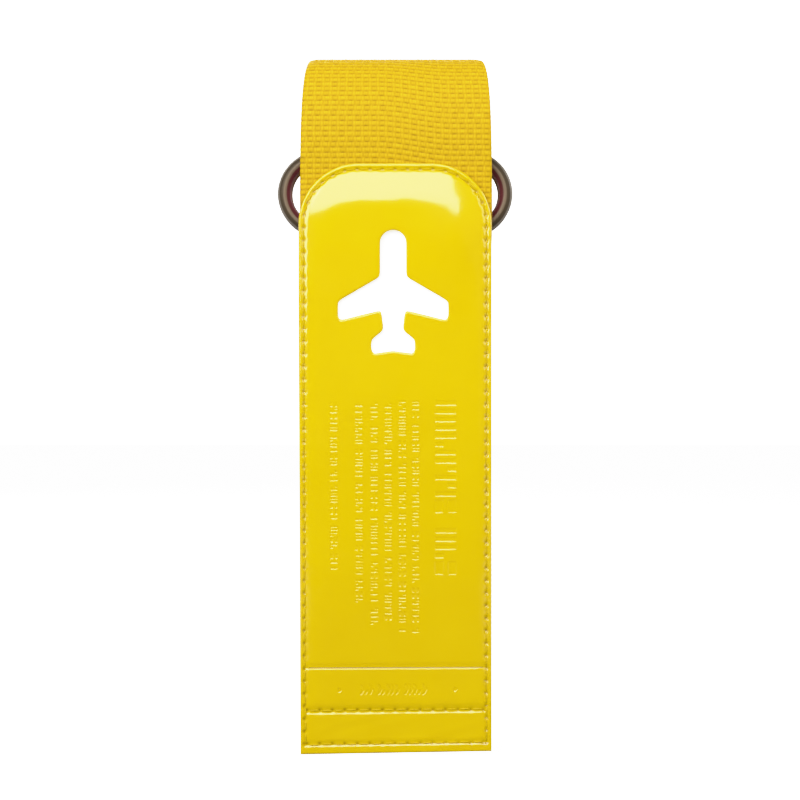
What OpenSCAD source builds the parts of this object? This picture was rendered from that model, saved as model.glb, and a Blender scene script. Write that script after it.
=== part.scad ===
// Luggage tag on a folded belt: a stitched soft plastic tag sewn over the end of a webbing belt.
// Millimetres. X runs across the belt, Y from the tag's face (-Y) to the back of the folded belt (+Y), Z up the tag.
// The origin is under the middle of the pack, level with the tag's lower edge.

/* [Tag] */
// Width of the tag's sheets
tag_w = 50.4; // [40:0.2:70]
// Height of the tag's sheets
tag_h = 154; // [120:1:200]
// Radius of the tag's two upper corners
tag_corner_r = 15.7; // [8:0.1:24]
// Thickness of the front sheet at its sewn rim
front_t = 1.2; // [0.8:0.1:2]
// Thickness of the back sheet
back_t = 0.9; // [0.5:0.1:2]
// Depth of the card pocket in the front sheet's back
pocket_d = 0.5; // [0.4:0.05:0.8]
// Distance from the tag's edge to the pocket
pocket_in = 2; // [1.8:0.1:4]
// Height of the seam that closes the pocket below
seam_z = 11.3; // [8:0.1:20]
// Height of the slit the card goes in by
slit_z = 22.1; // [16:0.1:40]
// Height of the slit's opening
slit_h = 0.6; // [0.4:0.1:1.5]
// Length of the slit
slit_w = 46; // [30:0.5:60]

/* [Stitching] */
// Distance of the stitching from the tag's sides
stitch_side = 1.35; // [1:0.05:4]
// Distance of the stitching from the tag's top
stitch_top = 1.6; // [1:0.05:4]
// Distance of the stitching from the tag's bottom
stitch_low = 2.5; // [1:0.05:5]
// Distance from one stitch to the next
stitch_pitch = 3.3; // [2:0.1:5]
// Length of thread seen in one stitch
stitch_len = 2.6; // [1.5:0.1:4]
// Width of the thread
thread_w = 0.55; // [0.3:0.05:1]
// Depth of the groove the stitches pull into a sheet
groove_d = 0.25; // [0.15:0.05:0.4]

/* [Aeroplane opening and embossing] */
// Height of the aeroplane's nose
plane_nose_z = 136.6; // [120:0.1:150]
// Sideways offset of the aeroplane
plane_x = -0.5; // [-3:0.1:3]
// Depth of the embossed marks
emboss_d = 0.15; // [0.1:0.05:0.3]

/* [Name card] */
// Width of the name card
card_w = 45.8; // [30:0.2:60]
// Length of the name card
card_h = 127.2; // [80:0.2:150]
// Thickness of the name card
card_t = 0.35; // [0.2:0.05:0.45]
// Height of the card's lower edge at rest
card_z = 12.3; // [11:0.1:20]

/* [Belt] */
// Width of the belt's webbing
belt_w = 50; // [38:1:60]
// Thickness of the belt's webbing
belt_t = 1.4; // [1:0.1:2]
// Sideways offset of the belt behind the tag
belt_x = 0.35; // [-1:0.05:1]
// Height of the line where the belt bends above the tag
bend_z = 156; // [155:0.5:160]
// Depth of the folded pack, front to back
pack_d = 32; // [26:0.5:40]
// Height of the top of the belt's loop
loop_top = 184; // [175:0.5:190]
// Height where the loop starts to curve
loop_z = 157.5; // [157:0.5:162]
// Distance from one folded layer to the next
fold_pitch = 2; // [1.8:0.05:3]
// Number of folded layers inside the pack
fold_n = 11; // [5:2:11]
// Height of the upper folds
fold_high = 125; // [100:1:126]
// Difference in height from fold to fold
fold_step = 1.1; // [0:0.1:2]
// Height of the belt's tail, where its hem turns
tail_z = 104; // [80:1:106]
// Length of the hem
hem_l = 18; // [10:1:30]

/* [Rings] */
// Outer width of a ring
ring_w = 62.2; // [56:0.2:70]
// Outer height of a ring
ring_h = 22.8; // [18:0.2:30]
// Diameter of the ring's wire
wire = 3.8; // [3:0.1:5]
// Height of the rings' lower bars
ring_z = 137.5; // [135:0.5:140]
// Width of the webbing that holds the rings
keeper_w = 38; // [25:1:39]
// Height of the keeper's lower end
keeper_z = 108; // [107:1:115]

/* [Hidden] */
face_y = -pack_d / 2;
belt_y = face_y + front_t + belt_t / 2;
back_y = face_y + front_t + belt_t;
keeper_y = back_y + back_t;
run_y = pack_d / 2 - belt_t / 2;
fold_r = fold_pitch / 2;
low_z = fold_r + belt_t / 2;
seam_w = tag_w - 2 * stitch_side - 1.2;
front_ring_y = keeper_y + belt_t + wire / 2 + 0.05;
back_ring_y = front_ring_y + wire + 0.05;
ring_r = (ring_h - wire) / 2;
ring_half = (ring_w - ring_h) / 2;
sheet_color = [0.93, 0.8, 0.06];
belt_color = [0.88, 0.7, 0.12];
thread_color = [0.55, 0.42, 0.08];
ring_color = [0.32, 0.28, 0.27];
card_color = [0.97, 0.97, 0.96];

// ---------- placing ----------

// Stands a flat shape up, with its front face at y and its thickness going back.
module upright(y, t) {
  translate([0, y + t, 0])
    rotate([90, 0, 0])
      linear_extrude(t)
        children();
}

// Draws a side profile of points [y, z] right across a strip of webbing of width w.
module across(w, x) {
  translate([x - w / 2, 0, 0])
    rotate([90, 0, 90])
      linear_extrude(w)
        children();
}

// Points of an arc round c.
function arc(c, r, a0, a1, n) = [for (i = [0:n]) c + r * [cos(a0 + (a1 - a0) * i / n), sin(a0 + (a1 - a0) * i / n)]];

// ---------- tag outline and stitches ----------

// Outline of the tag, drawn in from its sides, top and bottom.
function tag_outline(side, top, low) =
  let (w = tag_w / 2 - side, h = tag_h - top, r = tag_corner_r - side)
  concat(
    [[-w, low], [w, low]],
    arc([w - r, h - r], r, 0, 90, 14),
    arc([r - w, h - r], r, 90, 180, 14)
  );

// Place and direction [x, z, angle] at distance s along the edge stitches, up the left side, over the top and down the right.
function edge_at(s) =
  let (
    w = tag_w / 2 - stitch_side,
    r = tag_corner_r - stitch_side,
    up = tag_h - stitch_top - r - stitch_low,
    bend = PI * r / 2,
    over = 2 * (w - r),
    top_z = tag_h - stitch_top - r,
    a = s - up,
    b = a - bend,
    c = b - over
  )
  s < up ? [-w, stitch_low + s, 90]
  : a < bend ? [r - w - r * cos(90 * a / bend), top_z + r * sin(90 * a / bend), 90 - 90 * a / bend]
  : b < over ? [r - w + b, tag_h - stitch_top, 0]
  : c < bend ? [w - r + r * sin(90 * c / bend), top_z + r * cos(90 * c / bend), -90 * c / bend]
  : [w, top_z - (c - bend), -90];

edge_r = tag_corner_r - stitch_side;
edge_length = 2 * (tag_h - stitch_top - edge_r - stitch_low) + PI * edge_r + tag_w - 2 * stitch_side - 2 * edge_r;
edge_count = round(edge_length / stitch_pitch);

// One stitch seen from above: a short bar with pointed ends.
module stitch() {
  l = stitch_len / 2;
  w = thread_w / 2;
  polygon([[-l, 0], [w - l, -w], [l - w, -w], [l, 0], [l - w, w], [w - l, w]]);
}

module edge_stitches() {
  for (i = [0:edge_count - 1]) {
    p = edge_at((i + 0.5) * edge_length / edge_count);
    translate([p[0], p[1]])
      rotate(p[2])
        stitch();
  }
  stitch_row(stitch_low, tag_w - 2 * stitch_side, 0);
}

module stitch_row(z, w, x) {
  n = floor(w / stitch_pitch);
  for (i = [0:n - 1])
    translate([x + (i - (n - 1) / 2) * stitch_pitch, z])
      stitch();
}

// The channels that the stitches pull into a sheet.
module stitch_channels() {
  difference() {
    polygon(tag_outline(stitch_side - 0.45, stitch_top - 0.45, stitch_low - 0.45));
    polygon(tag_outline(stitch_side + 0.45, stitch_top + 0.45, stitch_low + 0.45));
  }
  translate([-seam_w / 2, seam_z - 0.45])
    square([seam_w, 0.9]);
}

// ---------- aeroplane and embossing ----------

// Right half of the aeroplane, from its nose down, as [half width, distance below the nose].
function plane_half() = concat(
  [for (i = [1:6]) [3.42 * sin(15 * i), 3.42 - 3.42 * cos(15 * i)]],
  [[3.42, 12.2], [13.6, 18.1]],
  [[14.3, 18.8], [14.4, 19.8], [14.4, 22.4], [14, 23.3], [13.2, 23.4]],
  [[3.12, 20.9], [2.5, 26.1]],
  [[5.2, 28.2], [5.7, 29], [5.7, 31.2], [5.2, 32.1], [4.6, 32.2], [0, 31.5]]
);

module plane_shape() {
  half = plane_half();
  last = len(half) - 1;
  translate([plane_x, plane_nose_z])
    polygon(concat(
      [[0, 0]],
      [for (p = half) [p[0], -p[1]]],
      [for (i = [1:last]) [-half[last - i][0], -half[last - i][1]]]
    ));
}

// One embossed bar with cut corners.
module mark(x0, x1, z0, z1) {
  c = min(x1 - x0, z1 - z0) * 0.3;
  polygon([[x0 + c, z0], [x1 - c, z0], [x1, z0 + c], [x1, z1 - c], [x1 - c, z1], [x0 + c, z1], [x0, z1 - c], [x0, z0 + c]]);
}

// A column of embossed bars read downwards, of lengths that repeat in a fixed pattern.
module mark_column(x0, x1, top, low, long, gap, k) {
  n = floor((top - low) / (long + gap));
  step = (top - low) / n;
  for (i = [0:n - 1]) {
    l = (step - gap) * (1 - 0.22 * ((i * k + k) % 3));
    mark(x0, x1, top - i * step - l, top - i * step);
  }
}

module embossing() {
  mark_column(10.4, 16, 92, 43, 3.6, 0.9, 2);
  mark_column(4.6, 6.2, 92, 32, 6.5, 1.5, 1);
  mark_column(1.1, 2.7, 92, 32, 5.2, 1.4, 2);
  mark_column(-2.6, -1, 91.4, 33.5, 7.2, 1.5, 4);
  mark_column(-6.3, -4.7, 91.4, 32, 5.8, 1.4, 5);
  mark_column(-10.3, -8.7, 91.4, 38.7, 6.2, 1.5, 7);
  mark_column(-16.9, -15.3, 91.6, 73.2, 5, 1.3, 4);
  mark_column(-16.9, -15.3, 69.6, 46, 5.6, 1.3, 5);
  mark(-17.1, -15.1, 71.1, 71.8);
  for (i = [0:5])
    mark(-8.9 + i * 3.25, -6.5 + i * 3.25, 15.4, 17.9);
  mark(-15.5, -14.1, 15.8, 17.2);
  mark(14.9, 16.3, 15.8, 17.2);
}

// ---------- tag ----------

module front_sheet() {
  color(sheet_color)
    difference() {
      upright(face_y, front_t)
        polygon(tag_outline(0, 0, 0));
      upright(face_y + front_t - pocket_d, pocket_d + 1)
        polygon(tag_outline(pocket_in, pocket_in, seam_z + 0.7));
      upright(face_y - 1, front_t + 1)
        translate([-slit_w / 2, slit_z - slit_h / 2])
          square([slit_w, slit_h]);
      upright(face_y - 1, front_t + 1)
        plane_shape();
      upright(face_y - 1, 1 + groove_d)
        stitch_channels();
      upright(face_y - 1, 1 + emboss_d)
        embossing();
    }
}

module back_sheet() {
  color(sheet_color)
    difference() {
      upright(back_y, back_t)
        polygon(tag_outline(0, 0, 0));
      upright(keeper_y - groove_d, 1)
        stitch_channels();
    }
}

module name_card() {
  r = tag_corner_r - pocket_in;
  w = card_w / 2;
  top = card_z + card_h;
  color(card_color)
    upright(face_y + front_t - pocket_d + 0.08, card_t)
      polygon(concat(
        [[-w, card_z], [w, card_z]],
        arc([w - r, top - r], r, 0, 90, 12),
        arc([r - w, top - r], r, 90, 180, 12)
      ));
}

module edge_thread_front() {
  color(thread_color)
    upright(face_y, groove_d)
      edge_stitches();
}

module edge_thread_back() {
  color(thread_color)
    upright(keeper_y - groove_d, groove_d)
      edge_stitches();
}

module seam_thread_front() {
  color(thread_color)
    upright(face_y, groove_d)
      stitch_row(seam_z, seam_w, 0);
}

module seam_thread_back() {
  color(thread_color)
    upright(keeper_y - groove_d, groove_d)
      stitch_row(seam_z, seam_w, 0);
}

// ---------- belt ----------

// The belt's middle line is a list of [y, z, direction]. This gives its solid outline.
function strip_outline(path, t) = concat(
  [for (p = path) [p[0] - t / 2 * sin(p[2]), p[1] + t / 2 * cos(p[2])]],
  [for (i = [1:len(path)]) let (p = path[len(path) - i]) [p[0] + t / 2 * sin(p[2]), p[1] - t / 2 * cos(p[2])]]
);

// A bend of the middle line round c, from angle a0 to a1.
function bend(c, r, a0, a1, n) =
  let (turn = a1 > a0 ? 90 : -90)
  [for (i = [0:n]) let (a = a0 + (a1 - a0) * i / n) [c[0] + r * cos(a), c[1] + r * sin(a), a + turn]];

// The loop over the top of the pack, half an ellipse from front to back.
function top_loop() =
  let (a = (run_y - belt_y) / 2, b = loop_top - belt_t / 2 - loop_z, c = (run_y + belt_y) / 2)
  [for (i = [0:30]) let (f = 180 - 6 * i) [c + a * cos(f), loop_z + b * sin(f), atan2(-b * cos(f), a * sin(f))]];

// Height of the middle of fold k, counted from the back of the pack.
function low_fold_z(k) = k == 0 ? low_z : low_z + 1.2 + fold_step * ((k * 2) % 3);
function high_fold_z(k) = fold_high - fold_r - fold_step * ((k + 1) % 3);

function low_fold(k) = bend([run_y - fold_pitch * (2 * k + 0.5), low_fold_z(k)], fold_r, 0, -180, 10);
function high_fold(k) = bend([run_y - fold_pitch * (2 * k - 0.5), high_fold_z(k)], fold_r, 0, 180, 10);

// Folds from the back run to the last layer, lower and upper by turns.
function folds() = [
  for (k = [0:(fold_n - 1) / 2])
    for (p = concat(k == 0 ? [] : high_fold(k), low_fold(k)))
      p
];

hem_r = (belt_t + 0.2) / 2;
tail_y = run_y - fold_n * fold_pitch;

function hem() = concat(
  bend([tail_y - hem_r, tail_z - hem_r - belt_t / 2], hem_r, 0, 180, 10),
  [[tail_y - 2 * hem_r, tail_z - hem_l, -90]]
);

module belt_bundle() {
  color(belt_color)
    across(belt_w, belt_x)
      polygon(strip_outline(concat([[belt_y, bend_z + belt_t / 2 + 0.1, 90]], top_loop(), folds(), hem()), belt_t));
}

// The stretch sewn into the tag. Its upper end is rounded on the line where the belt bends.
module belt_front() {
  color(belt_color)
    union() {
      translate([belt_x - belt_w / 2, belt_y - belt_t / 2, 0.6])
        cube([belt_w, belt_t, bend_z - 0.6]);
      translate([belt_x - belt_w / 2, belt_y, bend_z])
        rotate([0, 90, 0])
          cylinder(r = belt_t / 2 - 0.02, h = belt_w, $fn = 32);
    }
}

module hem_thread() {
  color(thread_color)
    for (y = [tail_y - 2 * hem_r - belt_t / 2 - 0.2, tail_y + belt_t / 2])
      upright(y, 0.2)
        for (z = [tail_z - hem_l + 2.5, tail_z - hem_l + 6])
          stitch_row(z, belt_w - 6, belt_x);
}

// ---------- rings ----------

// One oval ring of round wire, its lower bar at z = ring_z.
module ring(y) {
  color(ring_color)
    translate([0, y, ring_z + ring_r])
      rotate([90, 0, 0])
        union() {
          for (s = [0, 180])
            rotate(s)
              translate([ring_half, 0, 0])
                rotate(-90)
                  rotate_extrude(angle = 180, $fn = 48)
                    translate([ring_r, 0])
                      circle(wire / 2, $fn = 32);
          for (z = [-ring_r, ring_r])
            translate([-ring_half, z, 0])
              rotate([0, 90, 0])
                cylinder(r = wire / 2, h = 2 * ring_half, $fn = 32);
        }
}

module ring_front() {
  ring(front_ring_y);
}

module ring_back() {
  ring(back_ring_y);
}

// The keeper's webbing goes up the back sheet, round both lower bars and down again on itself.
module ring_keeper() {
  r = wire / 2 + 0.05 + belt_t / 2;
  leg_y = keeper_y + belt_t / 2;
  outer_y = leg_y + belt_t + 0.05;
  turn = 50;
  out_r = 3;
  from = [back_ring_y + r * cos(turn), ring_z - r * sin(turn)];
  to_y = outer_y + out_r * (1 - cos(turn));
  to_z = from[1] - (from[0] - to_y) / tan(turn);
  color(belt_color)
    across(keeper_w, 0)
      polygon(strip_outline(concat(
        [[leg_y, keeper_z, 90]],
        bend([front_ring_y, ring_z], r, 180, 90, 10),
        bend([back_ring_y, ring_z], r, 90, -turn, 16),
        bend([outer_y + out_r, to_z - out_r * sin(turn)], out_r, 180 - turn, 180, 8),
        [[outer_y, keeper_z, -90]]
      ), belt_t));
}

module keeper_thread() {
  color(thread_color)
    upright(keeper_y + 2 * belt_t + 0.05, 0.2)
      for (z = [keeper_z + 3, keeper_z + 14])
        stitch_row(z, keeper_w - 4, 0);
}

front_sheet();
back_sheet();
name_card();
belt_front();
belt_bundle();
ring_front();
ring_back();
ring_keeper();
edge_thread_front();
edge_thread_back();
seam_thread_front();
seam_thread_back();
keeper_thread();
hem_thread();
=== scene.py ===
# Looks for the luggage tag on a folded belt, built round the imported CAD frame.
# Shapes are worked out in millimetres: x goes across the tag, y to the back and z up.
import math

import bpy
import numpy as np
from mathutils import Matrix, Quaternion, Vector
from mathutils.geometry import delaunay_2d_cdt


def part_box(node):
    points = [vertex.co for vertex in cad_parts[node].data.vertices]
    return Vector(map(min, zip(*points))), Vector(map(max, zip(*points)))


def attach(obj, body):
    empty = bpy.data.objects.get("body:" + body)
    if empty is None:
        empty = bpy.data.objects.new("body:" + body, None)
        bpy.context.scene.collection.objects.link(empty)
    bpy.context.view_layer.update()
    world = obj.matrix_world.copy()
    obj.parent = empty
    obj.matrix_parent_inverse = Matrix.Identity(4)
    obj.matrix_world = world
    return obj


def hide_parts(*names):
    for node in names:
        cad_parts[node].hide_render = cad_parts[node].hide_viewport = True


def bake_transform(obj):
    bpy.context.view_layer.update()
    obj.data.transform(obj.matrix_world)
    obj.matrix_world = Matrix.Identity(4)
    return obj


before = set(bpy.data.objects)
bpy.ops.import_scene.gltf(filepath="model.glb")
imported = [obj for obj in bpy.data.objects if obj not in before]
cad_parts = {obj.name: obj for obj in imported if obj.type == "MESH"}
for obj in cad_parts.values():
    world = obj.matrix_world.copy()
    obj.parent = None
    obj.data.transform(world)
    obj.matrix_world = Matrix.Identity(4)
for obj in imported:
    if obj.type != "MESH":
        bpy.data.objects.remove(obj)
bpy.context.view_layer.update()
MM = 0.001
rng = np.random.default_rng(7)
FINE = 1.0
FAR = 9.0  # stands for a distance too large to matter


# ---------------------------------------------------------------- measures

def box_mm(node):
    lo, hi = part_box(node)
    return np.array(lo) / MM, np.array(hi) / MM


sheet_lo, sheet_hi = box_mm("front_sheet")
back_lo, back_hi = box_mm("back_sheet")
web_lo, web_hi = box_mm("belt_front")
pack_hi = box_mm("belt_bundle")[1]
keeper_lo, keeper_hi = box_mm("ring_keeper")
ring_lo, ring_hi = box_mm("ring_front")
ring2_lo, ring2_hi = box_mm("ring_back")

# tag
FACE_Y = sheet_lo[1]
SHEET_T = sheet_hi[1] - sheet_lo[1]
HALF_W = (sheet_hi[0] - sheet_lo[0]) / 2
TAG_H = sheet_hi[2]
BACK_Y, KEEPER_Y = back_lo[1], back_hi[1]
CORNER = 15.7
STITCH_SIDE, STITCH_TOP, STITCH_LOW, STITCH_PITCH = 1.35, 1.6, 2.5, 3.3
SEAM_Z = 11.3
SLIT_Z, SLIT_H, SLIT_HALF = 22.32, 0.1, 23.0
LOW_BAND = 24  # below this the sheet's mesh is finer up and down, for the pressed lines

# belt: the webbing, the loop over the top and the folds behind
BELT_T = web_hi[1] - web_lo[1]
BELT_W = web_hi[0] - web_lo[0]
BELT_X = (web_hi[0] + web_lo[0]) / 2
BELT_Y = (web_hi[1] + web_lo[1]) / 2
RUN_Y = pack_hi[1] - BELT_T / 2
LOOP_TOP, LOOP_Z = pack_hi[2], 157.5
FOLD_PITCH, FOLD_N, FOLD_HIGH, FOLD_STEP = 2.0, 11, 125.0, 1.1
TAIL_Z, HEM_L = 104.0, 18.0
TAIL_Y, HEM_R = RUN_Y - FOLD_N * FOLD_PITCH, (BELT_T + 0.2) / 2
ROW, STRAND = 1.4, 1.065

# steps between the points of the webbing's mesh, along and across
ROW_STEP = ROW / 4 * FINE
FINE_STEP, STRAND_STEP = STRAND / 6 * FINE, STRAND / 3 * FINE
HALF_STEP, PLAIN_STEP = STRAND / 2 * FINE, 3.2 * FINE


def smooth(t):
    t = np.clip(t, 0, 1)
    return t * t * (3 - 2 * t)


# ---------------------------------------------------------------- meshes

def add_mesh(name, verts, polys, material):
    """A mesh object from vertices in millimetres and arrays of faces. End caps, with many corners,
    are shaded flat."""
    me = bpy.data.meshes.new(name)
    me.vertices.add(len(verts))
    me.vertices.foreach_set("co", (np.asarray(verts, float) * MM).astype(np.float32).ravel())
    polys = [np.asarray(p, np.int32) for p in polys if len(p)]
    corners = np.concatenate([p.ravel() for p in polys])
    counts = np.concatenate([np.full(len(p), p.shape[1]) for p in polys])
    starts = np.concatenate([[0], np.cumsum(counts)[:-1]]).astype(np.int32)
    me.loops.add(len(corners))
    me.loops.foreach_set("vertex_index", corners)
    me.polygons.add(len(counts))
    me.polygons.foreach_set("loop_start", starts)
    me.polygons.foreach_set("use_smooth", counts <= 4)
    me.materials.append(material)
    me.update(calc_edges=True)
    me.validate()
    ob = bpy.data.objects.new(name, me)
    bpy.context.scene.collection.objects.link(ob)
    return ob


def float_attribute(ob, name, values):
    attribute = ob.data.attributes.new(name, "FLOAT", "POINT")
    attribute.data.foreach_set("value", np.asarray(values, np.float32))


def place(ob, body, slot, *nodes):
    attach(ob, body)
    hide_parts(*nodes)


# ---------------------------------------------------------------- tag outline

def inside_distance(x, z):
    """Distance inwards from the tag's outline."""
    ax, top = np.abs(x), TAG_H - CORNER
    beside, above = ax > HALF_W - CORNER, z > top
    arc = CORNER - np.hypot(ax - (HALF_W - CORNER), z - top)
    side = np.where(beside, HALF_W - ax, np.minimum(HALF_W - ax, TAG_H - z))
    upper = np.where(beside & above, arc, np.where(above, TAG_H - z, side))
    return np.minimum(upper, z)


def u_distance(x, z):
    """Distance inwards from the line of stitches over the sides and top; negative outside it."""
    w, h, r = HALF_W - STITCH_SIDE, TAG_H - STITCH_TOP, CORNER - STITCH_SIDE
    ax = np.abs(x)
    arc = r - np.hypot(ax - (w - r), z - (h - r))
    straight = np.where(z > h - r, h - z, np.minimum(w - ax, h - z))
    return np.where((ax > w - r) & (z > h - r), arc, straight)


def outline_points(d, step):
    """The tag's outline drawn in by d, going round from the lower left corner."""
    w, r = HALF_W - d, CORNER - d
    bend_x, bend_z = HALF_W - CORNER, TAG_H - CORNER

    def line(a, b):
        n = max(2, int(round(np.hypot(b[0] - a[0], b[1] - a[1]) / step)))
        t = np.linspace(0, 1, n + 1)[:-1]
        return np.array(a) + t[:, None] * (np.array(b) - np.array(a))

    def arc(cx, a0, a1):
        n = max(4, int(round(abs(a1 - a0) * CORNER / step)))
        t = np.linspace(a0, a1, n + 1)[:-1]
        return np.stack([cx + r * np.cos(t), bend_z + r * np.sin(t)], 1)

    return np.concatenate([
        line((-w, d), (w, d)),
        line((w, d), (w, bend_z)),
        arc(bend_x, 0, math.pi / 2),
        line((bend_x, TAG_H - d), (-bend_x, TAG_H - d)),
        arc(-bend_x, math.pi / 2, math.pi),
        line((-w, bend_z), (-w, d)),
    ])


# ---------------------------------------------------------------- aeroplane opening

NOSE_X, NOSE_Z = -0.5, 136.6
BODY_R = 3.42  # half the width of the aeroplane's body
WING_AND_TAIL = [  # right half, from the side of the body down, as distances from the nose
    (BODY_R, 12.2), (13.6, 18.1), (14.3, 18.8), (14.4, 19.8), (14.4, 22.4), (14.0, 23.3), (13.2, 23.4),
    (3.12, 20.9), (2.5, 26.1), (5.2, 28.2), (5.7, 29.0), (5.7, 31.2), (5.2, 32.1), (4.6, 32.2),
    (0.0, 31.5),
]
CORNER_CUT = 0.6
PLANE_NEAR = (-16.5, 16.5, 103, 138)  # an area that holds it with room to spare


def plane_outline():
    """Outline of the aeroplane, nose up, with its corners rounded."""
    turns = [math.radians(a) for a in range(15, 91, 15)]
    half = [(BODY_R * math.sin(a), BODY_R - BODY_R * math.cos(a)) for a in turns] + WING_AND_TAIL
    pts = [(0.0, 0.0)] + half + [(-x, z) for x, z in reversed(half[:-1])]
    pts = np.array([(x + NOSE_X, NOSE_Z - z) for x, z in pts])
    for _ in range(2):  # each corner is cut twice
        following = np.roll(pts, -1, 0)
        run = following - pts
        length = np.hypot(run[:, 0], run[:, 1])[:, None]
        cut = np.minimum(0.25 * length, CORNER_CUT)
        a, b = pts + run / length * cut, following - run / length * cut
        pts = np.stack([a, b], 1).reshape(-1, 2)
    out = []
    for a, b in zip(pts, np.roll(pts, -1, 0)):
        n = max(1, int(np.hypot(*(b - a)) / (0.3 * FINE)))
        out += [a + (b - a) * t for t in np.arange(n) / n]
    return np.array(out)[::-1]


PLANE = plane_outline()


def within(x, z, area):
    x0, x1, z0, z1 = area
    return (x > x0) & (x < x1) & (z > z0) & (z < z1)


def plane_distance(x, z):
    """Distance from the aeroplane's outline, negative inside it. Far points only get FAR."""
    near = within(x, z, PLANE_NEAR)
    px, pz = x[near], z[near]
    best = np.full(px.shape, FAR)
    inside = np.zeros(px.shape, bool)
    for (ax, az), (bx, bz) in zip(PLANE, np.roll(PLANE, -1, 0)):
        dx, dz = bx - ax, bz - az
        t = np.clip(((px - ax) * dx + (pz - az) * dz) / (dx * dx + dz * dz), 0, 1)
        best = np.minimum(best, np.hypot(px - ax - t * dx, pz - az - t * dz))
        if dz != 0:
            inside ^= ((az > pz) != (bz > pz)) & (px < (bx - ax) * (pz - az) / dz + ax)
    out = np.full(x.shape, FAR)
    out[near] = np.where(inside, -best, best)
    return out


def slit_distance(x, z):
    return np.maximum(np.abs(x) - SLIT_HALF, np.abs(z - SLIT_Z) - SLIT_H / 2)


# ---------------------------------------------------------------- embossed marks

# one row of tall marks and seven of small ones, as seed, x0, x1, top, low, cell, stroke, gap
MARK_ROWS = [(3, 10.4, 16.0, 92.0, 43.0, 4.3, 1.15, 0.95)] + [
    (seed, x0, x1, top, low, 1.55, 0.42, 0.42) for seed, x0, x1, top, low in (
        (11, 4.4, 6.3, 92.0, 32.0), (12, 0.9, 2.9, 92.0, 32.0), (13, -2.8, -0.8, 91.4, 33.5),
        (14, -6.5, -4.5, 91.4, 32.0), (15, -10.5, -8.5, 91.4, 38.7), (16, -17.1, -15.1, 91.6, 73.0),
        (17, -17.1, -15.1, 69.8, 46.0))
]
MARK_DASH = (-17.2, -15.0, 71.2, 71.6)
# areas (x0, x1, z0, z1) where the sheet's mesh is finer, and the grids that fill them
MARK_AREAS = ((-17.7, 16.7, 31.2, 92.8), (-16.2, 17.2, 14.4, 18.8))
MARK_GRIDS = ((-17.6, 16.5, 31.4, 92.6), (-16, 17, 14.6, 18.6))
MARK_SOFT, MARK_CORNER = 0.36, 0.2
MARK_DEPTHS = ((20, 45, 100), (0.10, 0.082, 0.056))  # heights, and how deep the marks are pressed there
TICKS_BELOW, TICKS_Z, TICK_SLOPE = 20, 16.65, 0.5  # marks below 20 mm are bent about their middle
DOT_XS, DOT_Z, DOT_R = (-14.6, 15.8), 16.5, 0.55
TICK_N, TICK_X, TICK_PITCH, TICK_W = 8, -8.7, 2.35, 0.55


def mark_row(seed, x0, x1, top, low, cell, stroke, gap):
    """One row of marks, from the top down: groups of 3 to 7 cells, each with one of five patterns."""
    r = np.random.default_rng(seed)
    boxes, z, left = [], top, 0
    while z - cell > low:
        if left == 0:
            left = int(r.integers(3, 8))
            z -= cell * 0.75 if z < top else 0
        foot, middle = z - cell + gap, z - (cell - gap) / 2
        upper, lower, whole = (z - stroke, z), (foot, foot + stroke), (foot, z)
        centre = (middle - stroke / 2, middle + stroke / 2)
        pattern = (
            ((0, 1, upper), (0, 1, lower)),
            ((0, 1, upper), (0, 0.42, lower)),
            ((0, 0.4, whole), (0.62, 1, whole)),
            ((0, 1, centre),),
            ((0.58, 1, upper), (0, 1, lower)),
        )[int(r.integers(0, 5))]
        boxes += [(x0 + a * (x1 - x0), x0 + b * (x1 - x0), *span) for a, b, span in pattern]
        z -= cell
        left -= 1
    return boxes


def mark_boxes():
    """Blind marks as (x0, x1, z0, z1): plain bars and ticks in place of lettering."""
    boxes = [box for row in MARK_ROWS for box in mark_row(*row)] + [MARK_DASH]
    for i in range(TICK_N):
        x = TICK_X + i * TICK_PITCH
        boxes.append((x, x + TICK_W, 15.3, 18.0))
        if i % 3 != 1:
            boxes.append((x + 2 * TICK_W, x + 3 * TICK_W, 15.3, 18.0 if i % 2 else 16.5))
    return boxes


MARKS = mark_boxes()


def mark_relief(x, z):
    """1 inside a mark and 0 outside, with a soft edge. The ticks on the low band bend into chevrons."""
    out = np.zeros(x.shape)
    x = np.where(z < TICKS_BELOW, x + TICK_SLOPE * np.abs(z - TICKS_Z), x)
    order = np.argsort(z)
    zs = z[order]
    for x0, x1, z0, z1 in MARKS:
        i, j = np.searchsorted(zs, [z0 - MARK_SOFT, z1 + MARK_SOFT])
        pick = order[i:j]
        pick = pick[(x[pick] > x0 - MARK_SOFT) & (x[pick] < x1 + MARK_SOFT)]
        r = min(MARK_CORNER, (x1 - x0) / 2, (z1 - z0) / 2)
        qx = np.abs(x[pick] - (x0 + x1) / 2) - (x1 - x0) / 2 + r
        qz = np.abs(z[pick] - (z0 + z1) / 2) - (z1 - z0) / 2 + r
        d = np.hypot(np.maximum(qx, 0), np.maximum(qz, 0)) + np.minimum(np.maximum(qx, qz), 0) - r
        out[pick] = np.maximum(out[pick], smooth(0.5 - d / MARK_SOFT))
    for dot_x in DOT_XS:
        out = np.maximum(out, smooth(0.5 - (np.hypot(x - dot_x, z - DOT_Z) - DOT_R) / MARK_SOFT))
    return out


# ---------------------------------------------------------------- stitches

HOLE_REACH, HOLE_R = 1.6, 0.55


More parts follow.
